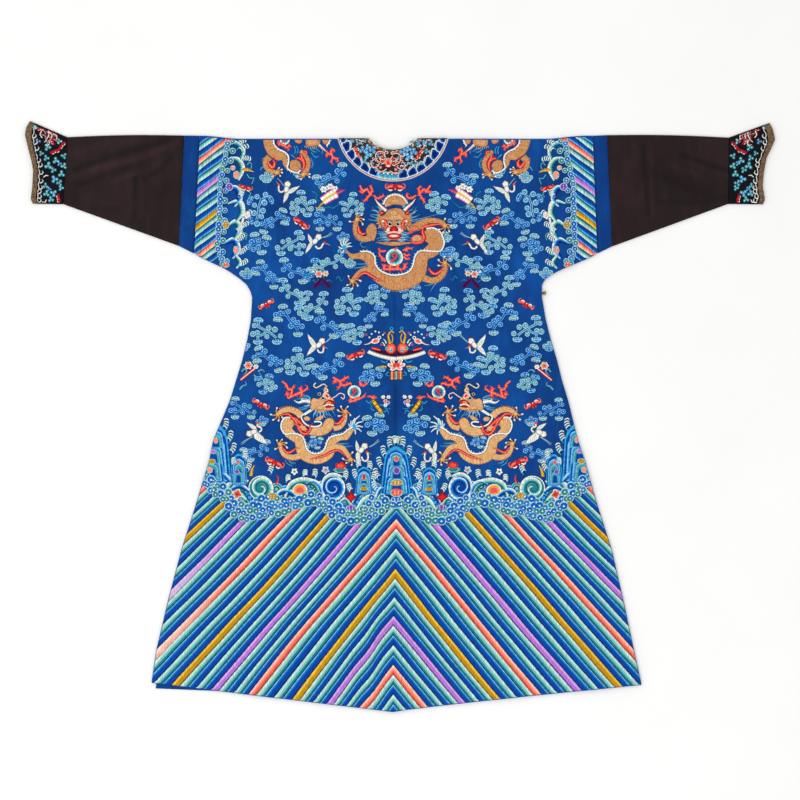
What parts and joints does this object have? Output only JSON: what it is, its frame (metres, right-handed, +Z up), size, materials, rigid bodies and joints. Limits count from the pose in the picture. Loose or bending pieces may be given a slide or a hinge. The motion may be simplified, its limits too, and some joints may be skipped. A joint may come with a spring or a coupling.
{
  "type": "dragon robe",
  "caption": "Long silk court robe with horse-hoof cuffs and embroidered dragons, clouds and a striped wave border, laid flat with its back uppermost.",
  "frame": {"origin": "middle of the laid robe's outline, on the surface that it lies on", "axes": "+X across the sleeves, to the right as seen from above; +Y towards the neck; +Z up from the surface, out of the robe's back"},
  "size_m": [1.8266, 1.4423, 0.0106],
  "materials": {
    "blue_satin": "royal-blue silk satin, embroidered all over in coloured silk and couched thread",
    "band_silk": "plain blue silk with a soft sheen",
    "sleeve_silk": "matt brown-black silk, lightly creased",
    "black_satin": "blue-black silk satin, embroidered",
    "gold_brocade": "brown and gold figured brocade ribbon",
    "pale_cord": "pale pink twisted silk cord",
    "brass": "worn brass ball, lightly tarnished",
    "loop_silk": "blue silk cord"
  },
  "bodies": {
    "root": {"left_half": "blue_satin", "right_half": "blue_satin", "overlap": "blue_satin", "left_band": "band_silk", "right_band": "band_silk", "left_sleeve": "sleeve_silk", "right_sleeve": "sleeve_silk", "left_cuff": "black_satin", "right_cuff": "black_satin", "left_cuff_binding": "gold_brocade", "right_cuff_binding": "gold_brocade", "neck_facing": "black_satin", "neck_cord": "pale_cord", "neck_binding": "gold_brocade", "side_button": "brass", "side_loop": "loop_silk"}
  },
  "joints": []
}
